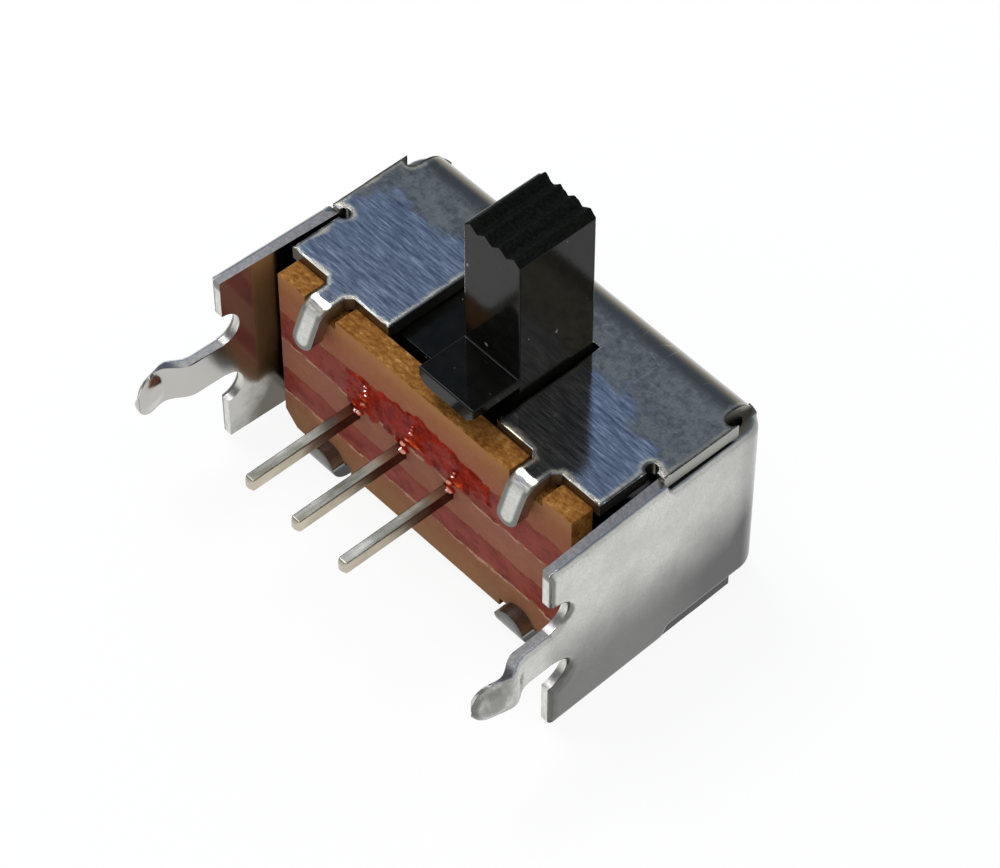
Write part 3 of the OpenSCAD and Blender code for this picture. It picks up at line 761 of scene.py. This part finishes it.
bpy.ops.object.select_all(action="DESELECT")
bpy.ops.mesh.primitive_grid_add(
    x_subdivisions=round((resin_x[1] - resin_x[0]) / resin_cell),
    y_subdivisions=round((resin_z[1] - resin_z[0]) / resin_cell),
    size=1, rotation=(math.pi / 2, 0, 0))
seal = bpy.context.object
seal.name = seal.data.name = "seal"
seal.scale = (resin_x[1] - resin_x[0], resin_z[1] - resin_z[0], 1)
seal.location = (sum(resin_x) / 2, 0, sum(resin_z) / 2)
bpy.ops.object.transform_apply(location=True, rotation=True, scale=True)
for vert in seal.data.vertices:
    px, py, pz = vert.co
    tear = tear_depth * turbulence(Vector((px * tear_size, 1, pz * tear_size)), 3, False)
    lower = pz - film_low_z - film_slope * px - tear
    hump = film_hump * math.exp(-(px - hump_x) ** 2 / hump_spread)
    upper = film_top_z + hump + tear - pz
    run = min(px - resin_x[0], resin_x[1] - px) - film_end - end_tear * tear
    film = max(min(lower / resin_edge, upper / resin_edge, run / resin_edge, 1), -1)
    bead = 0
    wobble = bead_wobble * noise_at(Vector((px * 7, 4, pz * 7)))
    for at_x, at_z, wide, below, above, high in beads:
        beside = max(1 - ((px - at_x + wobble) / wide) ** 2, 0) ** 0.5
        over = pz - at_z - wobble
        bead = max(bead, high * beside * (
            math.exp(-over / above) if over > 0 else max(1 - (over / below) ** 2, 0) ** 0.5))
    ripple = swell * (1 + noise_at(Vector((px * 3, 2, pz * 3))))
    ripple += ripple_height * noise_at(Vector((px * 11, 2, pz * 11)))
    lift = max(
        film * resin_skin + (ripple if film > 0 else 0), bead if bead > bead_least else 0)
    vert.co.y = board_front_y - lift if lift > 0 else board_front_y + resin_back

resin, start = new_material("red resin")
place = place_on(start)
[y] = parts_of(place, "Y")
[face_z] = parts_of(normal_on(start), "Z")
swirl = noise(place, 3.2, detail=4, rough=0.65)
clump = noise(place, 6, detail=3, rough=0.6, shift=9)
thick = y * -1 + board_front_y
deep_red = swirl.step(0.3, 0.7).blend(*deep_reds)
deep_red = (clump.step(0.60, 0.68) * 0.35).blend(deep_red, milky_red)
deep_red = ((1 - thick.step(0.008, 0.025)) * 0.5).blend(deep_red, thin_red)
# Painted glow: light through the resin makes the thick beads orange.
bead_glow = clump.step(0.36, 0.62).blend(*bead_glow_oranges)
colour = (thick + (swirl - 0.5) * 0.05).step(0.075, 0.115).blend(deep_red, bead_glow)
shader = start.node("ShaderNodeBsdfPrincipled", {}, {
    "Base Color": colour, "Specular IOR Level": 0.03, "Roughness": 0.35,
    "Normal": bumps(swirl + clump * 0.4, 0.25, 0.03),
    "Coat Weight": thick.step(0.09, 0.12) * face_z.step(0.5, 0.75), "Coat IOR": 3.2,
    "Coat Roughness": 0.12})
finish_surface(start, shader)
settle(seal, resin, "housing", "red_resin", "sealing_resin")

# ---------- slider ----------
# The carriage, its tongue and its knob are one black moulding. It is glossy from the mould but
# for the ridges on top, which thumbs and the mould's grain leave matte.
slider_round = 0.05
knob_top, knob_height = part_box("slider")[1].z / MM, 6
ridge_depth, ridge_wear, ridge_from_y = 1.0, 0.07, -0.72
ridge_foot_z, valley_z = knob_top - ridge_depth, knob_top - 0.4
ridge_slices_x = np.arange(-0.085, 2.1, 0.06)
blacks = (0.0032, 0.0036, 0.0030), (0.0066, 0.0068, 0.0052)
matte_blacks = (0.003, 0.004, 0.003), (0.009, 0.010, 0.009)
dust_colour = (0.35, 0.35, 0.33)

plastic, start = new_material("black plastic")
place = place_on(start)
x, z = parts_of(place, "XZ")
[face_z] = parts_of(normal_on(start), "Z")
skin = noise(place, 2.2, detail=3, rough=0.55)
speck = noise(place, 18, detail=2, rough=0.6)
scratch = noise(place, 1, (14, 1.6, 3), detail=2, rough=0.5)
grain = noise(place, 11, (0.6, 1, 1), detail=4, rough=0.75)
grip = z.step(knob_top - 0.5, knob_top - 0.32) * face_z.step(0.05, 0.3) * x.step(-0.09, -0.03)
dust = noise(place, 3.4, detail=1, rough=0.3, shift=11).step(0.775, 0.80)
colour = (dust * 0.5).blend(skin.step(0.3, 0.8).blend(*blacks), dust_colour)
relief = skin * 0.7 + scratch * 0.12 + speck * 0.05 + grip * grain * 2.5 + dust
bump = bumps(relief, 0.3, 0.012)
gloss = start.node("ShaderNodeBsdfPrincipled", {}, {
    "Base Color": colour, "Specular IOR Level": 0.13, "Normal": bump,
    "Roughness": 0.08 + 0.05 * skin})
matte = start.node("ShaderNodeBsdfPrincipled", {}, {
    "Base Color": grain.step(0.35, 0.7).blend(*matte_blacks),
    "Specular IOR Level": 0.02, "Normal": bump, "Roughness": 0.6})
finish_surface(start, start.node("ShaderNodeMixShader", {}, {0: grip, 1: gloss, 2: matte}))

slider = merged_copy("slider", "slide")
round_edges(slider, slider_round, 3)
ridges = bmesh.new()
ridges.from_mesh(slider.data)
slice_where(
    ridges, lambda centre, normal: centre.z > knob_top - knob_height, 2, (ridge_foot_z, valley_z))
slice_where(
    ridges, lambda centre, normal: centre.z > ridge_foot_z and normal.z > 0.1, 0, ridge_slices_x)
for vert in ridges.verts:
    wear = ridge_wear * smooth_rise(vert.co.z, ridge_foot_z, ridge_foot_z + 0.15)
    wear *= smooth_rise(vert.co.y, ridge_from_y, ridge_from_y + 0.2)
    vert.co.z += wear * noise_at(vert.co * 5)
ridges.to_mesh(slider.data)
ridges.free()
settle(slider, plastic, "slider", "black_plastic", "slider")

# ---------- contact clip, spring and ball ----------
# What works inside: a bronze clip that bridges two contact heads, and the spring that presses
# the hardened ball into the dimples of the back plate.
for node, colour, roughness in (
    ("contact_clip", (0.60, 0.34, 0.11), 0.24),
    ("detent_spring", (0.40, 0.40, 0.42), 0.3),
    ("detent_ball", (0.55, 0.56, 0.58), 0.12),
):
    metal, start = new_material(node.replace("_", " "))
    place = place_on(start)
    drawn = noise(place, 5, (0.4, 1, 1), detail=4, rough=0.6)
    dark = tuple(0.7 * part for part in colour)
    shader = start.node("ShaderNodeBsdfPrincipled", {}, {
        "Base Color": drawn.step(0.3, 0.7).blend(dark, colour), "Metallic": 1,
        "Roughness": roughness + 0.12 * drawn, "Normal": bumps(drawn, 0.1, 0.01)})
    finish_surface(start, shader)
    for material_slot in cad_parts[node].material_slots:
        material_slot.material = metal
